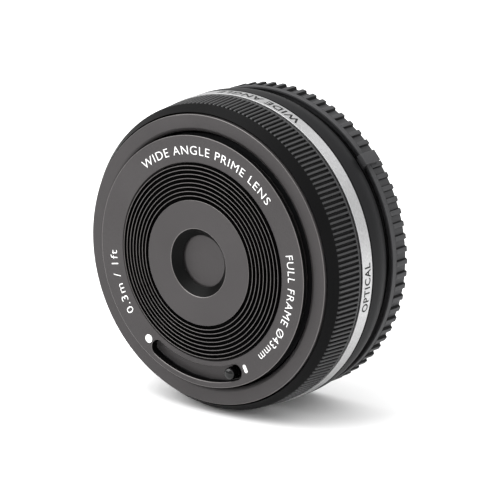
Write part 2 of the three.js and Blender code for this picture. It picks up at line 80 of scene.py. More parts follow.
# Front plate.
HOLE_R = 6.65
HOLE_ROUND = 0.1
HOLE_BACK_R = 5.0
HOLE_CHAMFER = 0.12
DISC_R = 12.07
DISC_ROUND = 0.09
RIDGE_COUNT = 8
RIDGE_PITCH = 0.81
RIDGE_FALL = 0.07
RIDGE_WIDTH = 0.13
RIDGE_ROUND = 0.05
FIRST_GROOVE_START = 0.06
GROOVE_DEPTH = 0.95
LAST_GROOVE_S = 1.45
BAND_INNER_R = 19.15
BAND_OUTER_R = 24.3
BAND_S = 0.92
BAND_SLOPE = 0.25
BAND_INNER_ROUND = 0.08
BAND_OUTER_ROUND = 0.12
PLATE_BACK = 1.8
EDGE_WIDTH = 0.12
SLOT_R = 21.65
SLOT_WIDTH = 3.1
SLOT_CENTRE = -93.7
SLOT_TRAVEL = 51.4
SLOT_WALL = 0.45
SLOT_BACK = 2.5
SLOT_CHAMFER = 0.12
SLOT_CHAMFER_BACK = 0.1
KNOB_DEG = -71.4

# Bezel, and the front barrel's cone and sleeve. The sleeve is inside the grip and the bright ring.
BEZEL_INNER_R = 24.62
BEZEL_R = 27.95
BEZEL_S = 2.54
BEZEL_BACK = 4.6
CONE_FRONT_R = 28.25
CONE_FRONT = 3.05
CONE_BACK_R = 29.54
CONE_BACK = 5.0
SLEEVE_R = 28.9
SLEEVE_BACK = 14.3

# Grip: ribs that stand on a ring which widens a little towards the back, then a plain rim.
GRIP_RIBS = 184
GRIP_FRONT = 5.06
GRIP_FRONT_R = 29.62
GRIP_RIB_BACK = 10.62
GRIP_BACK_R = 29.97
GRIP_BACK = 11.12
GRIP_RIB_DEPTH = 0.4
GRIP_INNER_R = 29.2

# Bright ring.
TRIM_FRONT = 11.4
TRIM_BACK = 14.32
TRIM_SINK = 0.02
TRIM_ROUND = 0.08

# Rear barrel: straight, then curving in to its end.
BARREL_FRONT = 14.62
BARREL_END_R = 28.8
BARREL_BACK = 20.4
BARREL_INNER_R = 28.25
BARREL_CURVE = [(16.2, BODY_R), (17.0, 30.09), (17.8, 29.95), (18.5, 29.74), (19.2, 29.45), (19.8, 29.12)]
BARREL_LIP_R = 27.3
BARREL_LIP_FRONT = 19.5

# Mount: a hub and flange with a tube behind it, which carries three lugs.
MOUNT_FRONT = 19.9
MOUNT_RIM = 20.7
MOUNT_FACE = 21.2
MOUNT_BACK = 24.4
MOUNT_HUB_R = 27.0
MOUNT_R = 28.4
TUBE_R = 21.6
THROAT_R = 20.2
LUG_R = 22.9
LUG_INNER_R = 21.2
LUG_FRONT = 23.0
LUG_BACK = 24.2
LUG_DEG = 55

# Screws that hold the mount, with a crossed recess in each head.
SCREW_COUNT = 4
SCREW_CIRCLE_R = 25.6
SCREW_R = 0.5
SCREW_FRONT = 17.4
SCREW_HEAD_R = 1.2
SCREW_HEAD_FRONT = 20.7
SCREW_BACK = 21.1
SCREW_HOLES = ((0.8, 19.0), (1.34, 20.4))
RECESS_FRONT = 20.8
RECESS_HALF_LONG = 0.75
RECESS_HALF_WIDE = 0.13

# Rear cap: a floor with a rim round it and a collar inside the rim.
CAP_R = 29.5
CAP_FRONT = 21.5
CAP_FLOOR = 25.0
CAP_RIM_R = 27.6
CAP_COLLAR_R = 26.0
CAP_COLLAR_INNER_R = 24.6
CAP_UNDERCUT = 22.8
CAP_BACK_R = 28.5
CAP_LUG_R = 24.9
CAP_LUG_INNER_R = 22.2
CAP_LUG_FRONT = 21.6
CAP_LUG_BACK = 22.7
CAP_LUG_DEG = 45
CAP_LUG_START = 27
CAP_RIBS = 76
CAP_RIB_R = 29.6
CAP_ROOT_R = 28.98
# How far the ribs are turned, as a share of their pitch.
CAP_RIB_TURN = 9 / 16
CAP_RIB_FRONT = 22.6
CAP_RIB_BACK = 25.9
INDEX_DEG = 40.3
INDEX_WIDTH = 2.3
INDEX_R = 30.7
INDEX_FRONT = 20.15
INDEX_BACK = 24.5

# Lettering and marks. CAPITAL_SHARE is a capital's height as a share of the font's size.
CAPITAL_SHARE = 0.7
LETTER_SPACING = 1.12
BAND_LETTER_HEIGHT = 1.68
BAND_LETTER_R = 20.64
BAND_LETTER_RISE = 0.006
BAND_LETTER_DEPTH = 0.02
BAND_LETTER_WEIGHT = -0.012
RIM_LETTER_HEIGHT = 1.6
RIM_LETTER_SINK = 0.014
RIM_LETTER_DEPTH = 0.012
RIM_LETTER_WEIGHT = 0.03
MARK_R = 21.65
MARK_HALF = 0.83
BAR_HALF_WIDE = 0.38
OPEN_MARK_DEG = -126.4
CLOSED_MARK_DEG = -60.9

# Camera: a long lens on a 36 mm sensor, 1 m from what it looks at.
CAMERA_AZIMUTH = 38.49
CAMERA_ELEVATION = 16.11
CAMERA_FOCAL = 387.9
CAMERA_SENSOR = 36
CAMERA_SIDE = 0.01241
CAMERA_RAISE = 0.0048


def at(radius, degrees, station):
    """A place in the frame, in metres."""
    angle = math.radians(degrees)
    return Vector((
        radius * math.cos(angle) * MM,
        FRONT_Y + station * MM,
        AXIS_Z + radius * math.sin(angle) * MM,
    ))


# ---------------------------------------------------------------- meshes


def fillet(points):
    """Rounds each corner of an outline. A point is (radius, station) or (radius, station, fillet)."""
    out = []
    count = len(points)
    for index, point in enumerate(points):
        corner = Vector(point[:2])
        size = point[2] if len(point) > 2 else 0
        if not size:
            out.append(corner)
            continue
        before = Vector(points[index - 1][:2]) - corner
        after = Vector(points[(index + 1) % count][:2]) - corner
        reach = min(size, before.length * FILLET_SHARE, after.length * FILLET_SHARE)
        start = corner + before.normalized() * reach
        end = corner + after.normalized() * reach
        if before.length > 2 * (reach + SUPPORT):
            out.append(start + before.normalized() * SUPPORT)
        for step in range(FILLET_STEPS + 1):
            t = step / FILLET_STEPS
            out.append(start * (1 - t) ** 2 + corner * 2 * t * (1 - t) + end * t * t)
        if after.length > 2 * (reach + SUPPORT):
            out.append(end + after.normalized() * SUPPORT)
    return out


def finish_mesh(name, mesh_data, materials):
    """Makes an object of a bmesh, smooth except at sharp edges."""
    bmesh.ops.remove_doubles(mesh_data, verts=mesh_data.verts, dist=SAME_POINT)
    bmesh.ops.recalc_face_normals(mesh_data, faces=mesh_data.faces)
    mesh = bpy.data.meshes.new(name)
    mesh_data.to_mesh(mesh)
    mesh_data.free()
    for material in materials:
        mesh.materials.append(material)
    mesh.shade_smooth()
    mesh.set_sharp_from_angle(angle=SHARP)
    piece = bpy.data.objects.new(name, mesh)
    bpy.context.collection.objects.link(piece)
    return piece


def turn(name, outline, materials, steps=TURN_STEPS, shape=None, paint=None):
    """Turns an outline about the lens axis. shape(radius, station, degrees) may alter each point's radius,
    and paint(radius, station, degrees) picks each face's material."""
    points = fillet(outline)
    mesh_data = bmesh.new()
    rings = []
    for step in range(steps):
        degrees = 360 * step / steps
        ring = []
        for radius, station in points:
            if shape:
                radius = shape(radius, station, degrees)
            ring.append(mesh_data.verts.new(at(radius, degrees, station)))
        rings.append(ring)
    count = len(points)
    for step in range(steps):
        near, far = rings[step], rings[(step + 1) % steps]
        for index in range(count):
            following = (index + 1) % count
            if points[index][0] == 0 and points[following][0] == 0:
                continue
            face = mesh_data.faces.new((near[index], near[following], far[following], far[index]))
            if paint:
                middle = (points[index] + points[following]) / 2
                face.material_index = paint(middle[0], middle[1], 360 * (step + 0.5) / steps)
    return finish_mesh(name, mesh_data, materials)


def turn_small(name, outline, radius, degrees, material, steps):
    """Turns a small outline about its own axis, which runs along the lens at a radius and angle."""
    points = fillet(outline)
    centre = at(radius, degrees, 0)
    mesh_data = bmesh.new()
    rings = []
    for step in range(steps):
        x, z = polar(MM, 360 * step / steps)
        rings.append([mesh_data.verts.new(centre + Vector((r * x, s * MM, r * z))) for r, s in points])
    for step in range(steps):
        near, far = rings[step], rings[(step + 1) % steps]
        for place in range(len(points) - 1):
            mesh_data.faces.new((near[place], near[place + 1], far[place + 1], far[place]))
    return finish_mesh(name, mesh_data, [material])


def prism(name, outline, front, back, materials, bevel=0.0):
    """An outline of places across the axis, in mm from it, made solid between two stations."""
    mesh_data = bmesh.new()
    loops = []
    for station in (front, back):
        loops.append([
            mesh_data.verts.new((x * MM, FRONT_Y + station * MM, AXIS_Z + z * MM)) for x, z in outline
        ])
    count = len(outline)
    mesh_data.faces.new(loops[0])
    mesh_data.faces.new(list(reversed(loops[1])))
    for index in range(count):
        following = (index + 1) % count
        mesh_data.faces.new((loops[0][index], loops[1][index], loops[1][following], loops[0][following]))
    if bevel:
        bmesh.ops.recalc_face_normals(mesh_data, faces=mesh_data.faces)
        bmesh.ops.bevel(
            mesh_data, geom=mesh_data.edges[:], offset=bevel * MM, segments=3, profile=0.5, affect="EDGES",
            clamp_overlap=True,
        )
    return finish_mesh(name, mesh_data, materials)


def polar(radius, degrees):
    """A place across the axis, as its distances to the right and up."""
    return radius * math.cos(math.radians(degrees)), radius * math.sin(math.radians(degrees))


def arc(radius, start, end, steps):
    """Places along an arc, from one angle to another."""
    return [polar(radius, start + (end - start) * step / steps) for step in range(steps + 1)]


def sector(inner, outer, centre, degrees, steps):
    """A piece of a ring, between two radii and so many degrees wide about its centre."""
    start, end = centre - degrees / 2, centre + degrees / 2
    return arc(outer, start, end, steps) + arc(inner, end, start, steps)


def slot_outline(width, steps=48, end_steps=14):
    """The curved slot's outline, round at both ends."""
    half = width / 2
    low = SLOT_CENTRE - SLOT_TRAVEL / 2
    high = SLOT_CENTRE + SLOT_TRAVEL / 2
    points = arc(SLOT_R + half, low, high, steps)
    for end, turned in ((high, 0), (low, 180)):
        middle = Vector(polar(SLOT_R, end))
        if turned:
            points += arc(SLOT_R - half, high, low, steps)
        for step in range(1, end_steps):
            degrees = end + turned + 180 * step / end_steps
            points.append(tuple(middle + Vector(polar(half, degrees))))
    return points


def slot_cutter():
    """The slot's tool. It flares at the plate's face, which leaves a small chamfer."""
    mesh_data = bmesh.new()
    layers = (
        (SLOT_BACK + 0.5, 0),
        (BAND_S + SLOT_CHAMFER_BACK, 0),
        (BAND_S - 0.02, SLOT_CHAMFER),
        (-0.5, SLOT_CHAMFER),
    )
    loops = []
    for station, flare in layers:
        loops.append([
            mesh_data.verts.new((x * MM, FRONT_Y + station * MM, AXIS_Z + z * MM))
            for x, z in slot_outline(SLOT_WIDTH + 2 * flare)
        ])
    count = len(loops[0])
    for lower, upper in zip(loops, loops[1:]):
        for index in range(count):
            following = (index + 1) % count
            mesh_data.faces.new((lower[index], lower[following], upper[following], upper[index]))
    mesh_data.faces.new(loops[0])
    mesh_data.faces.new(loops[-1])
    return finish_mesh("slot_cutter", mesh_data, [])


def cut(piece, cutter):
    """Cuts one object from another and removes the tool."""
    modifier = piece.modifiers.new("cut", "BOOLEAN")
    modifier.operation = "DIFFERENCE"
    modifier.solver = "EXACT"
    modifier.object = cutter
    apply_modifiers(piece)
    bpy.data.objects.remove(cutter)


def join(piece, other):
    """Joins another object's solid to a piece."""
    modifier = piece.modifiers.new("join", "BOOLEAN")
    modifier.operation = "UNION"
    modifier.solver = "EXACT"
    modifier.object = other
    apply_modifiers(piece)
    bpy.data.objects.remove(other)


def weld(mesh):
    """Closes up the slivers that a cut or a join leaves."""
    mesh_data = bmesh.new()
    mesh_data.from_mesh(mesh)
    bmesh.ops.remove_doubles(mesh_data, verts=mesh_data.verts, dist=WELD_GAP)
    bmesh.ops.dissolve_degenerate(mesh_data, edges=mesh_data.edges, dist=WELD_GAP)
    mesh_data.to_mesh(mesh)
    mesh_data.free()


def apply_modifiers(piece):
    """Makes a piece's cut or join part of its mesh."""
    depsgraph = bpy.context.evaluated_depsgraph_get()
    mesh = bpy.data.meshes.new_from_object(piece.evaluated_get(depsgraph))
    piece.modifiers.clear()
    weld(mesh)
    piece.data = mesh
    mesh.shade_smooth()
    mesh.set_sharp_from_angle(angle=SHARP)


# ---------------------------------------------------------------- materials


def new_material(name):
    """A new material, with its nodes, links and shader."""
    material = bpy.data.materials.new(name)
    material.use_nodes = True
    nodes = material.node_tree.nodes
    links = material.node_tree.links
    return material, nodes, links, nodes["Principled BSDF"]


def noise(nodes, links, scale, detail=4.0, vector=None):
    """A 0 to 1 noise, on the object's own coordinates unless others are given."""
    node = nodes.new("ShaderNodeTexNoise")
    node.inputs["Scale"].default_value = scale
    node.inputs["Detail"].default_value = detail
    if vector is None:
        vector = nodes.new("ShaderNodeTexCoord").outputs["Object"]
    links.new(vector, node.inputs["Vector"])
    return node.outputs["Fac"]


def spread(nodes, links, value, low, high):
    """Maps a 0 to 1 value to a range."""
    node = nodes.new("ShaderNodeMapRange")
    node.inputs["To Min"].default_value = low
    node.inputs["To Max"].default_value = high
    links.new(value, node.inputs["Value"])
    return node.outputs["Result"]


def tint(nodes, links, value, dark, light):
    """Mixes two colours by a 0 to 1 value."""
    node = nodes.new("ShaderNodeValToRGB")
    node.color_ramp.elements[0].color = (*dark, 1)
    node.color_ramp.elements[1].color = (*light, 1)
    node.color_ramp.elements[0].position = 0.3
    node.color_ramp.elements[1].position = 0.7
    links.new(value, node.inputs["Fac"])
    return node.outputs["Color"]


def bump(nodes, links, shader, height, strength, distance):
    """Raises a shader's surface by a height."""
    node = nodes.new("ShaderNodeBump")
    node.inputs["Strength"].default_value = strength
    node.inputs["Distance"].default_value = distance
    links.new(height, node.inputs["Height"])
    links.new(node.outputs["Normal"], shader.inputs["Normal"])


def around_axis(nodes, links, round_scale, along_scale):
    """Coordinates that follow the lens round: long along the circle, fine across it."""
    coordinate = nodes.new("ShaderNodeTexCoord").outputs["Object"]
    split = nodes.new("ShaderNodeSeparateXYZ")
    links.new(coordinate, split.inputs["Vector"])
    height = nodes.new("ShaderNodeMath")
    height.operation = "SUBTRACT"
    height.inputs[1].default_value = AXIS_Z
    links.new(split.outputs["Z"], height.inputs[0])
    angle = nodes.new("ShaderNodeMath")
    angle.operation = "ARCTAN2"
    links.new(height.outputs[0], angle.inputs[0])
    links.new(split.outputs["X"], angle.inputs[1])
    flat = nodes.new("ShaderNodeCombineXYZ")
    links.new(split.outputs["X"], flat.inputs["X"])
    links.new(height.outputs[0], flat.inputs["Y"])
    radius = nodes.new("ShaderNodeVectorMath")
    radius.operation = "LENGTH"
    links.new(flat.outputs["Vector"], radius.inputs[0])
    joined = nodes.new("ShaderNodeCombineXYZ")
    for source, target, scale in (
        (angle.outputs[0], "X", round_scale),
        (radius.outputs["Value"], "Y", along_scale),
        (split.outputs["Y"], "Z", along_scale),
    ):
        scaled = nodes.new("ShaderNodeMath")
        scaled.operation = "MULTIPLY"
        scaled.inputs[1].default_value = scale
        links.new(source, scaled.inputs[0])
        links.new(scaled.outputs[0], joined.inputs[target])
    return joined.outputs["Vector"]


def grained(name, dark, light, metallic, rough, grain, depth, gleam=0.5):
    """A fine grained finish: blasted metal, satin paint or moulded plastic. dark and light are its colours
    and rough is its least and most roughness. grain is the size of the grain in mm, depth its height in mm
    and gleam the strength of its reflection."""
    material, nodes, links, shader = new_material(name)
    shader.inputs["Metallic"].default_value = metallic
    shader.inputs["Specular IOR Level"].default_value = gleam
    fine = noise(nodes, links, 1 / (grain * MM), 3.0)
    broad = noise(nodes, links, 90, 2.0)
    mixed = nodes.new("ShaderNodeMath")
    mixed.operation = "MULTIPLY_ADD"
    mixed.inputs[1].default_value = 0.6
    links.new(fine, mixed.inputs[0])
    links.new(spread(nodes, links, broad, 0.05, 0.35), mixed.inputs[2])
    links.new(tint(nodes, links, mixed.outputs[0], dark, light), shader.inputs["Base Color"])
    links.new(spread(nodes, links, broad, rough[0], rough[1]), shader.inputs["Roughness"])
    bump(nodes, links, shader, fine, 0.6, depth * MM)
    return material


def turned_metal(name, dark, light, rough, round_scale, along_scale, strength):
    """Metal with the fine lines that a lathe leaves. round_scale and along_scale say how fast the lines
    change round the lens and across them, and strength how deep they look."""
    material, nodes, links, shader = new_material(name)
    shader.inputs["Metallic"].default_value = 1.0
    lines = noise(nodes, links, 1.0, 5.0, around_axis(nodes, links, round_scale, along_scale))
    links.new(tint(nodes, links, lines, dark, light), shader.inputs["Base Color"])
    links.new(spread(nodes, links, lines, rough[0], rough[1]), shader.inputs["Roughness"])
    bump(nodes, links, shader, lines, strength, 0.01 * MM)
    return material


def coated_glass(name, colour):
    """Lens glass with a faint coloured coating that shows towards its rim."""
    material, nodes, links, shader = new_material(name)
    shader.inputs["Roughness"].default_value = 0.02
    shader.inputs["IOR"].default_value = 1.7
    shader.inputs["Transmission Weight"].default_value = 0.85
    edge = nodes.new("ShaderNodeLayerWeight")
    edge.inputs["Blend"].default_value = 0.35
    cloudy = noise(nodes, links, 120, 2.0)
    blend = nodes.new("ShaderNodeMath")
    blend.operation = "MULTIPLY"
    links.new(edge.outputs["Facing"], blend.inputs[0])
    links.new(spread(nodes, links, cloudy, 0.8, 1.0), blend.inputs[1])
    links.new(tint(nodes, links, blend.outputs[0], (0.75, 0.85, 0.88), colour), shader.inputs["Base Color"])
    return material


BLASTED = grained(
    "blasted_alloy_look", (0.039, 0.0362, 0.0366), (0.06, 0.056, 0.0566), 0.5, (0.42, 0.52), 0.11, 0.012, 0.3)
# Painted shade: near-black for grooves, recess sides, the cove and the mount's gap, where shade falls.
SHADE_BLACK = grained(
    "painted_shade_black_look", (0.0012, 0.0012, 0.0012), (0.003, 0.003, 0.003), 0.0, (0.6, 0.8), 0.1, 0.01, 0.03)
# Painted shade: the inside of the light hole, darker than the plate.
HOLE_SHADE = grained(
    "hole_wall_painted_shade_look", (0.0016, 0.0016, 0.0016), (0.0036, 0.0036, 0.0036), 0.0, (0.4, 0.5), 0.1, 0.008, 0.06)
# Painted highlight: lighter than the plate, for the ridge tops and the slot's chamfer.
RIDGE_HIGHLIGHT = grained(
    "ridge_top_painted_highlight_look", (0.085, 0.079, 0.078), (0.125, 0.117, 0.115), 0.6, (0.35, 0.45), 0.1, 0.004)
# Painted highlight: a bright line on rounded rims, where they catch light.
EDGE_HIGHLIGHT = grained(
    "edge_painted_highlight_look", (0.1, 0.094, 0.093), (0.16, 0.15, 0.148), 0.7, (0.32, 0.4), 0.1, 0.004)
PAINT = grained(
    "black_paint_look", (0.0018, 0.0018, 0.0019), (0.0036, 0.0036, 0.0038), 0.0, (0.42, 0.52), 0.09, 0.006,
    0.05)
RIB_TOP = grained(
    "grip_rib_look", (0.022, 0.022, 0.023), (0.038, 0.038, 0.039), 0.4, (0.38, 0.5), 0.09, 0.008, 0.4)
# Painted shade: the grip's valleys, darker than its rib tops.
RIB_VALLEY_SHADE = grained(
    "grip_valley_painted_shade_look", (0.002, 0.002, 0.002), (0.004, 0.004, 0.004), 0.0, (0.5, 0.6), 0.09, 0.008, 0.1)
BARREL = grained(
    "rear_barrel_look", (0.009, 0.009, 0.0095), (0.014, 0.014, 0.0147), 0.0, (0.42, 0.48), 0.07, 0.003, 0.045)
CAP = grained(
    "cap_plastic_look", (0.028, 0.028, 0.0294), (0.044, 0.044, 0.0455), 0.0, (0.5, 0.62), 0.16, 0.014, 0.2)
# Painted shade: the sides of the cap's ribs, darker than the cap.
CAP_RIB_SHADE = grained(
    "cap_rib_side_painted_shade_look", (0.004, 0.004, 0.0042), (0.008, 0.008, 0.0082), 0.0, (0.6, 0.7), 0.16, 0.014, 0.15)
BLACK_PLASTIC = grained(
    "black_plastic_look", (0.018, 0.018, 0.019), (0.03, 0.03, 0.031), 0.0, (0.45, 0.6), 0.12, 0.01)
BOARD = grained(
    "circuit_board_look", (0.006, 0.06, 0.025), (0.012, 0.12, 0.05), 0.0, (0.3, 0.45), 0.5, 0.01)
FLEX = grained(
    "flex_film_look", (0.35, 0.15, 0.03), (0.55, 0.27, 0.07), 0.0, (0.25, 0.4), 0.6, 0.005)
WHITE = grained(
    "white_print_look", (0.82, 0.82, 0.81), (0.95, 0.95, 0.94), 0.0, (0.45, 0.55), 0.08, 0.003)
BLACK_PRINT = grained(
    "black_print_look", (0.004, 0.004, 0.004), (0.008, 0.008, 0.008), 0.0, (0.4, 0.5), 0.08, 0.003, 0.15)
GLOSS = grained(
    "black_gloss_look", (0.001, 0.001, 0.0011), (0.002, 0.002, 0.0021), 0.0, (0.1, 0.14), 0.3, 0.001, 0.35)
SILVER = turned_metal(
    "satin_silver_look", (0.34, 0.34, 0.343), (0.56, 0.56, 0.563), (0.34, 0.46), 60, 14000, 0.4)
STEEL = turned_metal(
    "steel_look", (0.48, 0.49, 0.5), (0.62, 0.63, 0.65), (0.22, 0.34), 3, 9000, 0.3)
CHROME = turned_metal(
    "chrome_look", (0.6, 0.6, 0.61), (0.72, 0.72, 0.73), (0.14, 0.24), 2, 12000, 0.2)
MAGNET = turned_metal(
    "magnet_look", (0.45, 0.46, 0.49), (0.58, 0.59, 0.62), (0.2, 0.3), 8, 2500, 0.2)
COPPER = turned_metal(
    "copper_look", (0.55, 0.24, 0.11), (0.86, 0.46, 0.25), (0.25, 0.4), 1, 9000, 0.8)
GOLD = turned_metal(
    "gold_look", (0.75, 0.5, 0.16), (0.95, 0.72, 0.3), (0.15, 0.25), 8, 4000, 0.2)
GLASS = coated_glass("coated_glass_look", (0.2, 0.35, 0.55))

SLOT_LOOKS = {
    "blasted_alloy": BLASTED,
    "black_paint": PAINT,
    "satin_silver": SILVER,
    "black_alloy": BARREL,
    "black_gloss": GLOSS,
    "black_plastic": BLACK_PLASTIC,
    "cap_plastic": CAP,
    "steel": STEEL,
    "chrome": CHROME,
    "copper": COPPER,
    "magnet": MAGNET,
    "glass": GLASS,
    "circuit": BOARD,
    "flex_film": FLEX,
    "gold": GOLD,
}


def dress_cad_nodes():
    """Every CAD node that stays gets its slot's procedural material."""
    for part in frame["record"]["subparts"]:
        node = frame["nodes"][part["node"]]
        for place in node.material_slots:
            place.material = SLOT_LOOKS[part["material_slot"]]


# ---------------------------------------------------------------- pieces


def keep(piece, body, node):
    """Rides a piece on its body and hides the CAD node that it stands for."""
    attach(piece, body)
    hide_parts(node)
    return piece


def front_plate():
    """The disc round the light hole, the light-trap ridges, the lettering band and the lever's slot."""
    outline = [(HOLE_R, 0, HOLE_ROUND), (DISC_R, 0, DISC_ROUND)]
    for index in range(RIDGE_COUNT):
        outer = DISC_R + RIDGE_PITCH * (index + 1)
        top = RIDGE_FALL * (index + 1)
        floor = GROOVE_DEPTH + RIDGE_FALL * index
        start = DISC_R + RIDGE_PITCH * index + (FIRST_GROOVE_START if index == 0 else RIDGE_WIDTH / 2)
        outline.append((start, floor))
        outline.append((outer - RIDGE_WIDTH / 2, floor))
        outline.append((outer - RIDGE_WIDTH / 2, top, RIDGE_ROUND))
        outline.append((outer + RIDGE_WIDTH / 2, top, RIDGE_ROUND))
    outline += [
        (DISC_R + RIDGE_PITCH * RIDGE_COUNT + RIDGE_WIDTH / 2, LAST_GROOVE_S),
        (BAND_INNER_R - BAND_SLOPE, LAST_GROOVE_S),
        (BAND_INNER_R, BAND_S, BAND_INNER_ROUND),
        (BAND_OUTER_R, BAND_S, BAND_OUTER_ROUND),
        (BAND_OUTER_R, PLATE_BACK),
        (HOLE_BACK_R + HOLE_CHAMFER, PLATE_BACK),
        (HOLE_BACK_R, PLATE_BACK - HOLE_CHAMFER),
    ]

    # Its materials: plain face, near-black painted shade, painted shade in the hole, painted highlight on
    # rims, painted highlight on the ridge tops.
    plain_face, black, bore_shade, edge, top_highlight = range(5)

    def paint(radius, station, _degrees):
        # The band's rounded rim gets a painted highlight, and its outer side behind it gets painted shade.
        if radius > BAND_OUTER_R - EDGE_WIDTH:
            return edge if station < BAND_S + EDGE_WIDTH else black
        # Between the ridges, the grooves and the ridge sides get painted shade and the ridge tops a painted
        # highlight.
        if DISC_R < radius < BAND_INNER_R - BAND_SLOPE:
            ridge = round((radius - DISC_R) / RIDGE_PITCH)
            return black if station > RIDGE_FALL * ridge + 0.09 else top_highlight
        # Inside the light hole, painted shade.
        if radius < HOLE_R - 0.02 and station > 0.12:
            return bore_shade
        # The rims of the hole and of the disc get a painted highlight.
        at_rim = radius < HOLE_R + EDGE_WIDTH / 2 or DISC_R - EDGE_WIDTH / 2 < radius <= DISC_R
        return edge if at_rim else plain_face

    piece = turn("front_plate_look", outline, [BLASTED, SHADE_BLACK, HOLE_SHADE, EDGE_HIGHLIGHT, RIDGE_HIGHLIGHT], paint=paint)
    # A skirt that carries the slot's sides back to SLOT_BACK; below, the paint turns it into painted shade.
    wall_outline = slot_outline(SLOT_WIDTH + 2 * SLOT_WALL)
    join(piece, prism("slot_wall", wall_outline, PLATE_BACK - 0.2, SLOT_BACK, [BLASTED]))
    cut(piece, slot_cutter())
    # In the slot, the sides get painted shade and the chamfer a painted highlight.
    for face in piece.data.polygons:
        reach = math.hypot(face.center.x, face.center.z - AXIS_Z) / MM
        in_slot = abs(reach - SLOT_R) < SLOT_WIDTH / 2 + 0.25 and abs(face.normal.y) < 0.9
        if in_slot and reach > BAND_INNER_R + 0.2:
            face.material_index = black if abs(face.normal.y) < 0.3 else top_highlight
    return keep(piece, "lens_body", "front_plate")


def front_bezel():
    """The flat ring round the plate, with the cove inside it."""
    outline = [
        (BEZEL_INNER_R, 3.3),
        (24.68, 3.02, 0.1),
        (24.95, 2.72, 0.15),
        (25.4, BEZEL_S, 0.1),
        (BEZEL_R, BEZEL_S, 0.16),
        (BEZEL_R, BEZEL_BACK),
        (BEZEL_INNER_R, BEZEL_BACK),
    ]
    # Its materials: plain face, near-black painted shade in the cove's deep part, painted highlight on the
    # bezel's rounded rim.
    plain_face, black, edge = range(3)

    def paint(radius, station, _degrees):
        # The cove's deep part gets painted shade.
        if radius < 24.7:
            return black
        # The bezel's outer rim gets a painted highlight.
        at_rim = radius > BEZEL_R - EDGE_WIDTH and station < BEZEL_S + EDGE_WIDTH
        return edge if at_rim else plain_face

    piece = turn("front_bezel_look", outline, [BLASTED, SHADE_BLACK, EDGE_HIGHLIGHT], paint=paint)
    return keep(piece, "lens_body", "front_bezel")


def front_barrel():
    """The black cone, and the sleeve that runs back under the grip."""
    outline = [
        (CONE_FRONT_R, CONE_FRONT, 0.04),
        (CONE_BACK_R, CONE_BACK, 0.04),
        (29.2, CONE_BACK + 0.02),
        (SLEEVE_R, 5.4),
        (SLEEVE_R, SLEEVE_BACK),
        (CONE_FRONT_R, SLEEVE_BACK),
    ]
    piece = turn("front_barrel_look", outline, [PAINT])
    return keep(piece, "lens_body", "front_barrel")


def rib_height(degrees, count, half, slope, crown):
    """Height of a row of ribs, 0 to 1, at an angle. half and slope are shares of the pitch, and the rib's
    top falls by crown towards its sides."""
    from_middle = abs(degrees * count / 360 % 1 - 0.5)
    if from_middle <= half:
        return 1 - crown * (from_middle / half) ** 4
    return max(0.0, (1 - crown) * (1 - (from_middle - half) / slope))


def grip_ring():
    """The fine ribbed ring."""
    outline = [
        (GRIP_INNER_R, GRIP_FRONT),
        (GRIP_FRONT_R - 0.25, GRIP_FRONT),
        (GRIP_FRONT_R, GRIP_FRONT + 0.28, 0.06),
        (GRIP_BACK_R, GRIP_RIB_BACK - 0.06, 0.05),
        (GRIP_BACK_R - 0.02, GRIP_RIB_BACK),
        (GRIP_BACK_R - 0.06, GRIP_RIB_BACK + 0.02),
        (GRIP_BACK_R - 0.06, GRIP_BACK, 0.05),
        (GRIP_INNER_R, GRIP_BACK),
    ]

    def height(degrees):
        return rib_height(degrees, GRIP_RIBS, 0.17, 0.17, 0.0)

    def shape(radius, station, degrees):
        if radius == GRIP_INNER_R or station > GRIP_RIB_BACK:
            return radius
        return max(radius - GRIP_RIB_DEPTH * (1 - height(degrees)), GRIP_INNER_R + 0.03)

    # The valleys between the ribs get painted shade.
    def paint(_radius, station, degrees):
        return 1 if station < GRIP_RIB_BACK and height(degrees) < 0.6 else 0

    steps = GRIP_RIBS * 12
    piece = turn("grip_ring_look", outline, [RIB_TOP, RIB_VALLEY_SHADE], steps, shape, paint)
    return keep(piece, "lens_body", "grip_ring")


def trim_ring():
    """The bright ring."""
    outline = [
        (GRIP_INNER_R, TRIM_FRONT),
        (BODY_R - TRIM_SINK, TRIM_FRONT, TRIM_ROUND),
        (BODY_R - TRIM_SINK, TRIM_BACK, TRIM_ROUND),
        (GRIP_INNER_R, TRIM_BACK),
    ]
    piece = turn("trim_ring_look", outline, [SILVER])
    return keep(piece, "lens_body", "trim_ring")


def rear_barrel():
    """The smooth black ring behind the bright one, with a lip inside its back end."""
    outline = [(GRIP_INNER_R, BARREL_FRONT), (BODY_R, BARREL_FRONT, 0.1)]
    outline += [(radius, station) for station, radius in BARREL_CURVE]
    outline += [
        (BARREL_END_R, BARREL_BACK, 0.12),
        (BARREL_LIP_R, BARREL_BACK, 0.08),
        (BARREL_LIP_R, BARREL_LIP_FRONT),
        (BARREL_INNER_R, BARREL_LIP_FRONT),
        (BARREL_INNER_R, BARREL_FRONT),
    ]
    piece = turn("rear_barrel_look", outline, [BARREL])
    return keep(piece, "lens_body", "rear_barrel")


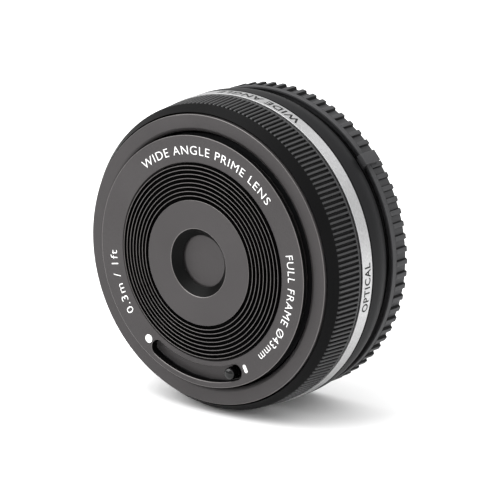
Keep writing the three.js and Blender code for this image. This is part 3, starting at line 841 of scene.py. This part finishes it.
def bayonet_mount():
    """The mount with its lugs and the holes for its screws. Its front and its outer rim are painted
    near-black, as painted shade in the gap between the barrel and the cap.
    """
    outline = [
        (THROAT_R, MOUNT_FRONT),
        (MOUNT_HUB_R, MOUNT_FRONT),
        (MOUNT_HUB_R, MOUNT_RIM),
        (MOUNT_R, MOUNT_RIM, 0.08),
        (MOUNT_R, MOUNT_FACE, 0.12),
        (TUBE_R, MOUNT_FACE),
        (TUBE_R, MOUNT_BACK, 0.15),
        (THROAT_R, MOUNT_BACK, 0.15),
    ]
    # Bright metal, and near-black painted shade on the front and the outer rim.
    bright, black = range(2)

    def paint(radius, station, _degrees):
        return black if station < MOUNT_RIM + 0.02 or radius > MOUNT_R - 0.2 else bright

    piece = turn("bayonet_mount_look", outline, [CHROME, SHADE_BLACK], paint=paint)
    for index in range(3):
        outline = sector(LUG_INNER_R, LUG_R, LENS_TOP + index * 120, LUG_DEG, 24)
        join(piece, prism("lug", outline, LUG_FRONT, LUG_BACK, [CHROME], bevel=0.08))
    for index in range(SCREW_COUNT):
        x, z = polar(SCREW_CIRCLE_R, LENS_TOP - 45 + index * 90)
        for radius, front in SCREW_HOLES:
            hole = [(x + dx, z + dz) for dx, dz in arc(radius, 0, 352.5, 47)]
            cut(piece, prism("screw_hole", hole, front, MOUNT_FACE + 0.8, []))
    return keep(piece, "lens_body", "bayonet_mount")


def mount_screws():
    """The screws that hold the mount."""
    outline = [
        (0, SCREW_FRONT),
        (SCREW_R, SCREW_FRONT),
        (SCREW_R, SCREW_HEAD_FRONT),
        (SCREW_HEAD_R, SCREW_HEAD_FRONT),
        (SCREW_HEAD_R, SCREW_BACK, 0.15),
        (0, SCREW_BACK),
    ]
    arms = ((RECESS_HALF_LONG, RECESS_HALF_WIDE), (RECESS_HALF_WIDE, RECESS_HALF_LONG))
    for index in range(SCREW_COUNT):
        degrees = LENS_TOP + 45 + index * 90
        name = f"mount_screw_{index + 1}"
        screw = turn_small(f"{name}_look", outline, SCREW_CIRCLE_R, degrees, STEEL, 40)
        x, z = polar(SCREW_CIRCLE_R, degrees)
        for long, wide in arms:
            bar = [(x - long, z - wide), (x + long, z - wide), (x + long, z + wide), (x - long, z + wide)]
            cut(screw, prism("recess", bar, RECESS_FRONT, SCREW_BACK + 0.5, []))
        keep(screw, "lens_body", name)


def rear_cap():
    """The rear cap, with its ribs, the lugs that hold it on and its index block."""
    outline = [
        (0, CAP_FLOOR),
        (CAP_COLLAR_INNER_R, CAP_FLOOR),
        (CAP_COLLAR_INNER_R, CAP_FRONT, 0.12),
        (CAP_COLLAR_R, CAP_FRONT, 0.12),
        (CAP_COLLAR_R, CAP_FLOOR),
        (CAP_RIM_R, CAP_FLOOR),
        (CAP_RIM_R, CAP_UNDERCUT),
        (28.9, CAP_UNDERCUT),
        (29.12, CAP_FRONT, 0.06),
        (CAP_R, CAP_FRONT, 0.1),
        (CAP_R, CAP_RIB_FRONT, 0.04),
        (CAP_RIB_R, CAP_RIB_FRONT + 0.05, 0.03),
        (CAP_RIB_R, CAP_RIB_BACK, 0.2),
        (28.9, CAP_RIB_BACK + 0.15, 0.1),
        (CAP_BACK_R, LENGTH, 0.25),
        (0, LENGTH),
    ]

    def height(degrees):
        return rib_height(degrees + CAP_RIB_TURN * 360 / CAP_RIBS, CAP_RIBS, 0.2, 0.05, 0.12)

    def in_ribs(station):
        return CAP_RIB_FRONT + 0.01 < station < CAP_RIB_BACK + 0.14

    def shape(radius, station, degrees):
        if not in_ribs(station):
            return radius
        return min(radius, CAP_ROOT_R + (CAP_RIB_R - CAP_ROOT_R) * height(degrees))

    # The ribs' sides get painted shade.
    def paint(radius, station, degrees):
        return 1 if radius > CAP_ROOT_R and in_ribs(station) and 0.01 < height(degrees) < 0.8 else 0

    piece = turn("rear_cap_look", outline, [CAP, CAP_RIB_SHADE], CAP_RIBS * 16, shape, paint)
    for index in range(3):
        outline = sector(CAP_LUG_INNER_R, CAP_LUG_R, CAP_LUG_START + index * 120, CAP_LUG_DEG, 20)
        join(piece, prism("cap_lug", outline, CAP_LUG_FRONT, CAP_LUG_BACK, [CAP], bevel=0.1))
    for inner, front in ((CAP_R + 0.05, INDEX_FRONT), (28.0, CAP_FRONT + 0.1)):
        join(piece, index_block(inner, front))
    return keep(piece, "rear_cap", "rear_cap")


def index_block(inner, front):
    """Half of the cap's index block, a bar that reaches forward over the gap."""
    along = Vector(polar(1, INDEX_DEG))
    across = Vector(polar(1, INDEX_DEG + 90))
    half = INDEX_WIDTH / 2
    corners = [
        along * radius + across * side
        for radius, side in ((inner, -half), (INDEX_R, -half), (INDEX_R, half), (inner, half))
    ]
    return prism("index_block", corners, front, INDEX_BACK, [CAP], bevel=0.14)


def lever_knob():
    """The finger knob: a dome on a stem that widens a little to its foot."""
    dome = [(0, 0), (0.3, 0.02), (0.58, 0.09), (0.84, 0.22), (1.04, 0.42), (1.16, 0.7), (1.2, 1.05)]
    stem = [(1.22, 1.6), (1.25, 2.3), (1.3, SLOT_BACK), (0, SLOT_BACK)]
    outline = dome + stem
    piece = turn_small("cover_lever_knob_look", outline, SLOT_R, KNOB_DEG, GLOSS, 64)
    return keep(piece, "cover_lever", "cover_lever_knob")


def glass_element(number, radius, front, back, front_bulge, back_bulge):
    """A lens element between two stations at its rim. Each face swells outwards by its bulge."""
    points = []
    steps = 12
    for step in range(steps + 1):
        share = step / steps
        points.append((radius * share, front - front_bulge * (1 - share * share)))
    for step in range(steps, -1, -1):
        share = step / steps
        points.append((radius * share, back + back_bulge * (1 - share * share)))
    piece = turn(f"lens_element_{number}_look", points, [GLASS], steps=96)
    return keep(piece, "lens_body", f"lens_element_{number}")


# ---------------------------------------------------------------- lettering


def letters(name, words, height, place, depth, material, weight):
    """Words as thin solid letters. place(share, up, out) puts each point on the lens: share is how far
    along the words it is, and up and out are in mm. weight thickens or thins the strokes."""
    curve = bpy.data.curves.new(name, "FONT")
    curve.body = words
    curve.size = height / CAPITAL_SHARE
    curve.space_character = LETTER_SPACING
    curve.extrude = depth / 2
    curve.offset = weight * height
    curve.resolution_u = 4
    source = bpy.data.objects.new(name, curve)
    bpy.context.collection.objects.link(source)
    depsgraph = bpy.context.evaluated_depsgraph_get()
    mesh = bpy.data.meshes.new_from_object(source.evaluated_get(depsgraph))
    bpy.data.objects.remove(source)
    width = max(vertex.co.x for vertex in mesh.vertices)
    for vertex in mesh.vertices:
        vertex.co = place(vertex.co.x / width, vertex.co.y, vertex.co.z)
    mesh.materials.clear()
    mesh.materials.append(material)
    piece = bpy.data.objects.new(name, mesh)
    bpy.context.collection.objects.link(piece)
    return piece


def band_letters(name, words, start, end):
    """Words on the front band, between two angles, reading clockwise with their tops outwards."""

    def place(share, up, out):
        return at(BAND_LETTER_R + up, start + (end - start) * share, BAND_S - BAND_LETTER_RISE - out)

    piece = letters(
        name, words, BAND_LETTER_HEIGHT, place, BAND_LETTER_DEPTH, WHITE, BAND_LETTER_WEIGHT)
    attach(piece, "lens_body")


def rim_letters(name, words, start, end):
    """Words on the bright ring, between two angles, their tops towards the front."""
    base = (TRIM_FRONT + TRIM_BACK + RIM_LETTER_HEIGHT) / 2

    def place(share, up, out):
        return at(BODY_R - RIM_LETTER_SINK + out, start + (end - start) * share, base - up)

    piece = letters(
        name, words, RIM_LETTER_HEIGHT, place, RIM_LETTER_DEPTH, BLACK_PRINT, RIM_LETTER_WEIGHT)
    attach(piece, "lens_body")


def lever_marks():
    """The white dot at the open end of the slot and the white bar at the closed end."""
    marks = (
        ("open_mark", OPEN_MARK_DEG, MARK_HALF),
        ("closed_mark", CLOSED_MARK_DEG, BAR_HALF_WIDE),
    )
    steps = 48
    for name, degrees, wide in marks:
        along = Vector(polar(1, degrees))
        across = Vector(polar(1, degrees + 90))
        reach = MARK_HALF - wide
        outline = []
        for step in range(steps):
            x, z = polar(1, 360 * step / steps)
            outline.append(along * (MARK_R + x * wide + math.copysign(reach, x)) + across * (z * wide))
        piece = prism(name, outline, BAND_S - 0.016, BAND_S + 0.01, [WHITE])
        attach(piece, "lens_body")


# ---------------------------------------------------------------- stage


def floor_and_world():
    """A plain pale floor under an even white surround."""
    bpy.ops.mesh.primitive_plane_add(size=6, location=(0, 0, 0))
    floor = bpy.context.object
    floor.name = "studio_floor"
    material, nodes, links, shader = new_material("studio_floor_look")
    shade = tint(nodes, links, noise(nodes, links, 3, 1.0), (0.9, 0.9, 0.9), (0.92, 0.92, 0.92))
    links.new(shade, shader.inputs["Base Color"])
    shader.inputs["Roughness"].default_value = 0.8
    shader.inputs["Specular IOR Level"].default_value = 0.1
    floor.data.materials.append(material)
    world = bpy.context.scene.world or bpy.data.worlds.new("World")
    bpy.context.scene.world = world
    world.use_nodes = True
    nodes = world.node_tree.nodes
    background = nodes["Background"]
    background.inputs["Color"].default_value = (1, 1, 1, 1)
    background.inputs["Strength"].default_value = 0.9


def direction(azimuth, elevation):
    """The way out from the lens: azimuth 0 is in front of it and 90 at its right."""
    turned, rise = math.radians(azimuth), math.radians(elevation)
    return Vector((
        math.sin(turned) * math.cos(rise),
        -math.cos(turned) * math.cos(rise),
        math.sin(rise),
    ))


def soft_light(name, azimuth, elevation, distance, size, watts):
    """A square soft light that looks at the lens. Its distance and size are in metres."""
    away = direction(azimuth, elevation)
    data = bpy.data.lights.new(name, "AREA")
    data.size = size
    data.energy = watts
    light = bpy.data.objects.new(name, data)
    bpy.context.collection.objects.link(light)
    light.location = Vector((0, 0, AXIS_Z)) + away * distance
    light.rotation_mode = "QUATERNION"
    light.rotation_quaternion = away.to_track_quat("Z", "Y")


def camera():
    """The camera, high and to the right of the front."""
    back = direction(CAMERA_AZIMUTH, CAMERA_ELEVATION)
    data = bpy.data.cameras.new("camera")
    data.lens = CAMERA_FOCAL
    data.sensor_width = CAMERA_SENSOR
    data.clip_start = 0.05
    data.clip_end = 20
    seat = bpy.data.objects.new("camera", data)
    bpy.context.collection.objects.link(seat)
    seat.location = Vector((CAMERA_SIDE, FRONT_Y, AXIS_Z + CAMERA_RAISE)) + back
    seat.rotation_mode = "QUATERNION"
    seat.rotation_quaternion = back.to_track_quat("Z", "Y")
    bpy.context.scene.camera = seat


camera()
floor_and_world()
soft_light("left_front_box", azimuth=-42, elevation=50, distance=0.55, size=0.6, watts=4.4)
soft_light("top_box", azimuth=110, elevation=76, distance=0.9, size=1.4, watts=6.6)
soft_light("right_box", azimuth=95, elevation=12, distance=0.9, size=0.5, watts=2.0)
bpy.context.scene.view_settings.view_transform = "Standard"

dress_cad_nodes()
front_plate()
front_bezel()
front_barrel()
grip_ring()
trim_ring()
rear_barrel()
bayonet_mount()
mount_screws()
rear_cap()
lever_knob()
glass_element(1, radius=6.4, front=5.9, back=6.6, front_bulge=0.3, back_bulge=-0.5)
glass_element(6, radius=11, front=17.6, back=18.3, front_bulge=-0.2, back_bulge=0.6)
band_letters("band_words_top", "WIDE ANGLE PRIME LENS", 130.6, 41.5)
band_letters("band_words_right", "FULL FRAME Ø43mm", 14.0, -48.8)
band_letters("band_words_left", "0.3m / 1ft", -142.3, -176.2)
rim_letters("rim_words_right", "OPTICAL", -13.8, 4.7)
rim_letters("rim_words_top", "WIDE ANGLE", 63, 100)
lever_marks()
